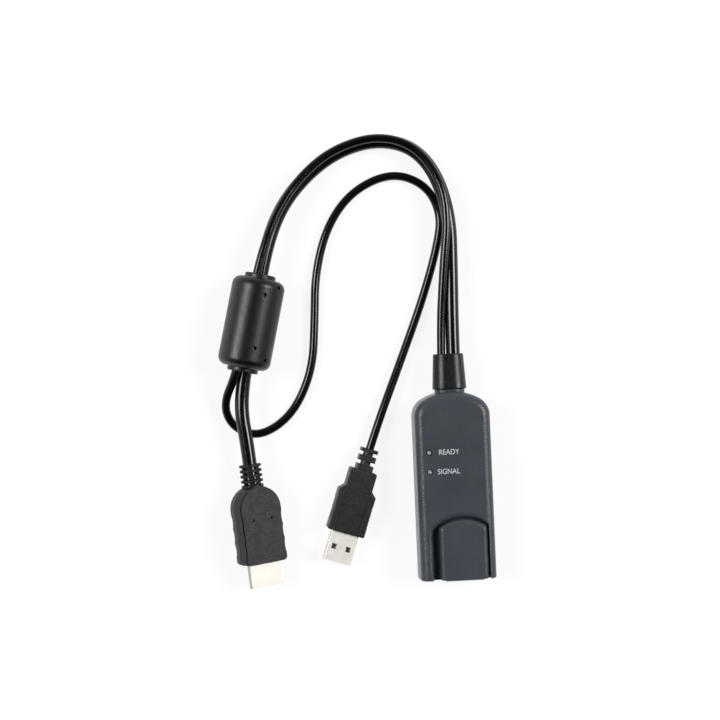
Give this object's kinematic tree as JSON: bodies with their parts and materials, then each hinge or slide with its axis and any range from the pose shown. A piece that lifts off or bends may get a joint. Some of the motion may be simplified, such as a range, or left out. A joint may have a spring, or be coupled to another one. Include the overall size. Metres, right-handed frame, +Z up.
{
  "type": "kvm dongle",
  "caption": "Server interface module with a network jack in a slate grey housing, a tapered strain boot, and video and data cords that share a ferrite and end in plugs.",
  "frame": {"origin": "on the supporting surface, under the middle of the housing and strain boot together; the cords, the ferrite and the plugs lie to -X and +Y of it", "axes": "+Y from the network jack along the housing to the strain boot, +X to the right seen from above with the boot pointing away, +Z up out of the housing's top face"},
  "size_m": [0.1129, 0.1903, 0.0222],
  "materials": {
    "housing_plastic": "fine satin texture, dark slate grey",
    "screw_steel": "zinc plated",
    "board_laminate": "solder mask",
    "chip_resin": "moulded resin",
    "shield_steel": "tin plated",
    "header_plastic": "moulded",
    "lamp_plastic": "clear resin",
    "light_pipe_clear": "frosted clear",
    "jack_plastic": "moulded",
    "contact_gold": "gold plated",
    "boot_vinyl": "soft satin vinyl",
    "tie_nylon": "moulded nylon",
    "cord_vinyl": "extruded vinyl, semi-gloss",
    "ferrite_ceramic": "sintered ferrite",
    "video_plug_vinyl": "fine matt vinyl",
    "video_metal": "pale gold plated, bright",
    "data_plug_vinyl": "fine matt vinyl",
    "data_metal": "nickel plated, bright",
    "insulator_plastic": "moulded"
  },
  "bodies": {
    "root": {"top_cover": "housing_plastic", "bottom_cover": "housing_plastic", "housing_screws": "screw_steel", "circuit_board": "board_laminate", "main_chip": "chip_resin", "memory_chip": "chip_resin", "network_transformer": "chip_resin", "crystal": "shield_steel", "capacitors": "shield_steel", "video_cord_header": "header_plastic", "data_cord_header": "header_plastic", "indicator_lamps": "lamp_plastic", "power_light_pipe": "light_pipe_clear", "active_light_pipe": "light_pipe_clear", "network_jack_housing": "jack_plastic", "network_jack_shield": "shield_steel", "network_jack_contacts": "contact_gold", "strain_boot": "boot_vinyl", "cord_tie": "tie_nylon", "video_cord": "cord_vinyl", "data_cord": "cord_vinyl", "ferrite_core": "ferrite_ceramic", "ferrite_moulding": "boot_vinyl", "video_plug_moulding": "video_plug_vinyl", "video_plug_shell": "video_metal", "video_plug_insulator": "jack_plastic", "video_plug_contacts": "contact_gold", "data_plug_moulding": "data_plug_vinyl", "data_plug_shell": "data_metal", "data_plug_insulator": "insulator_plastic", "data_plug_contacts": "contact_gold"}
  },
  "joints": []
}
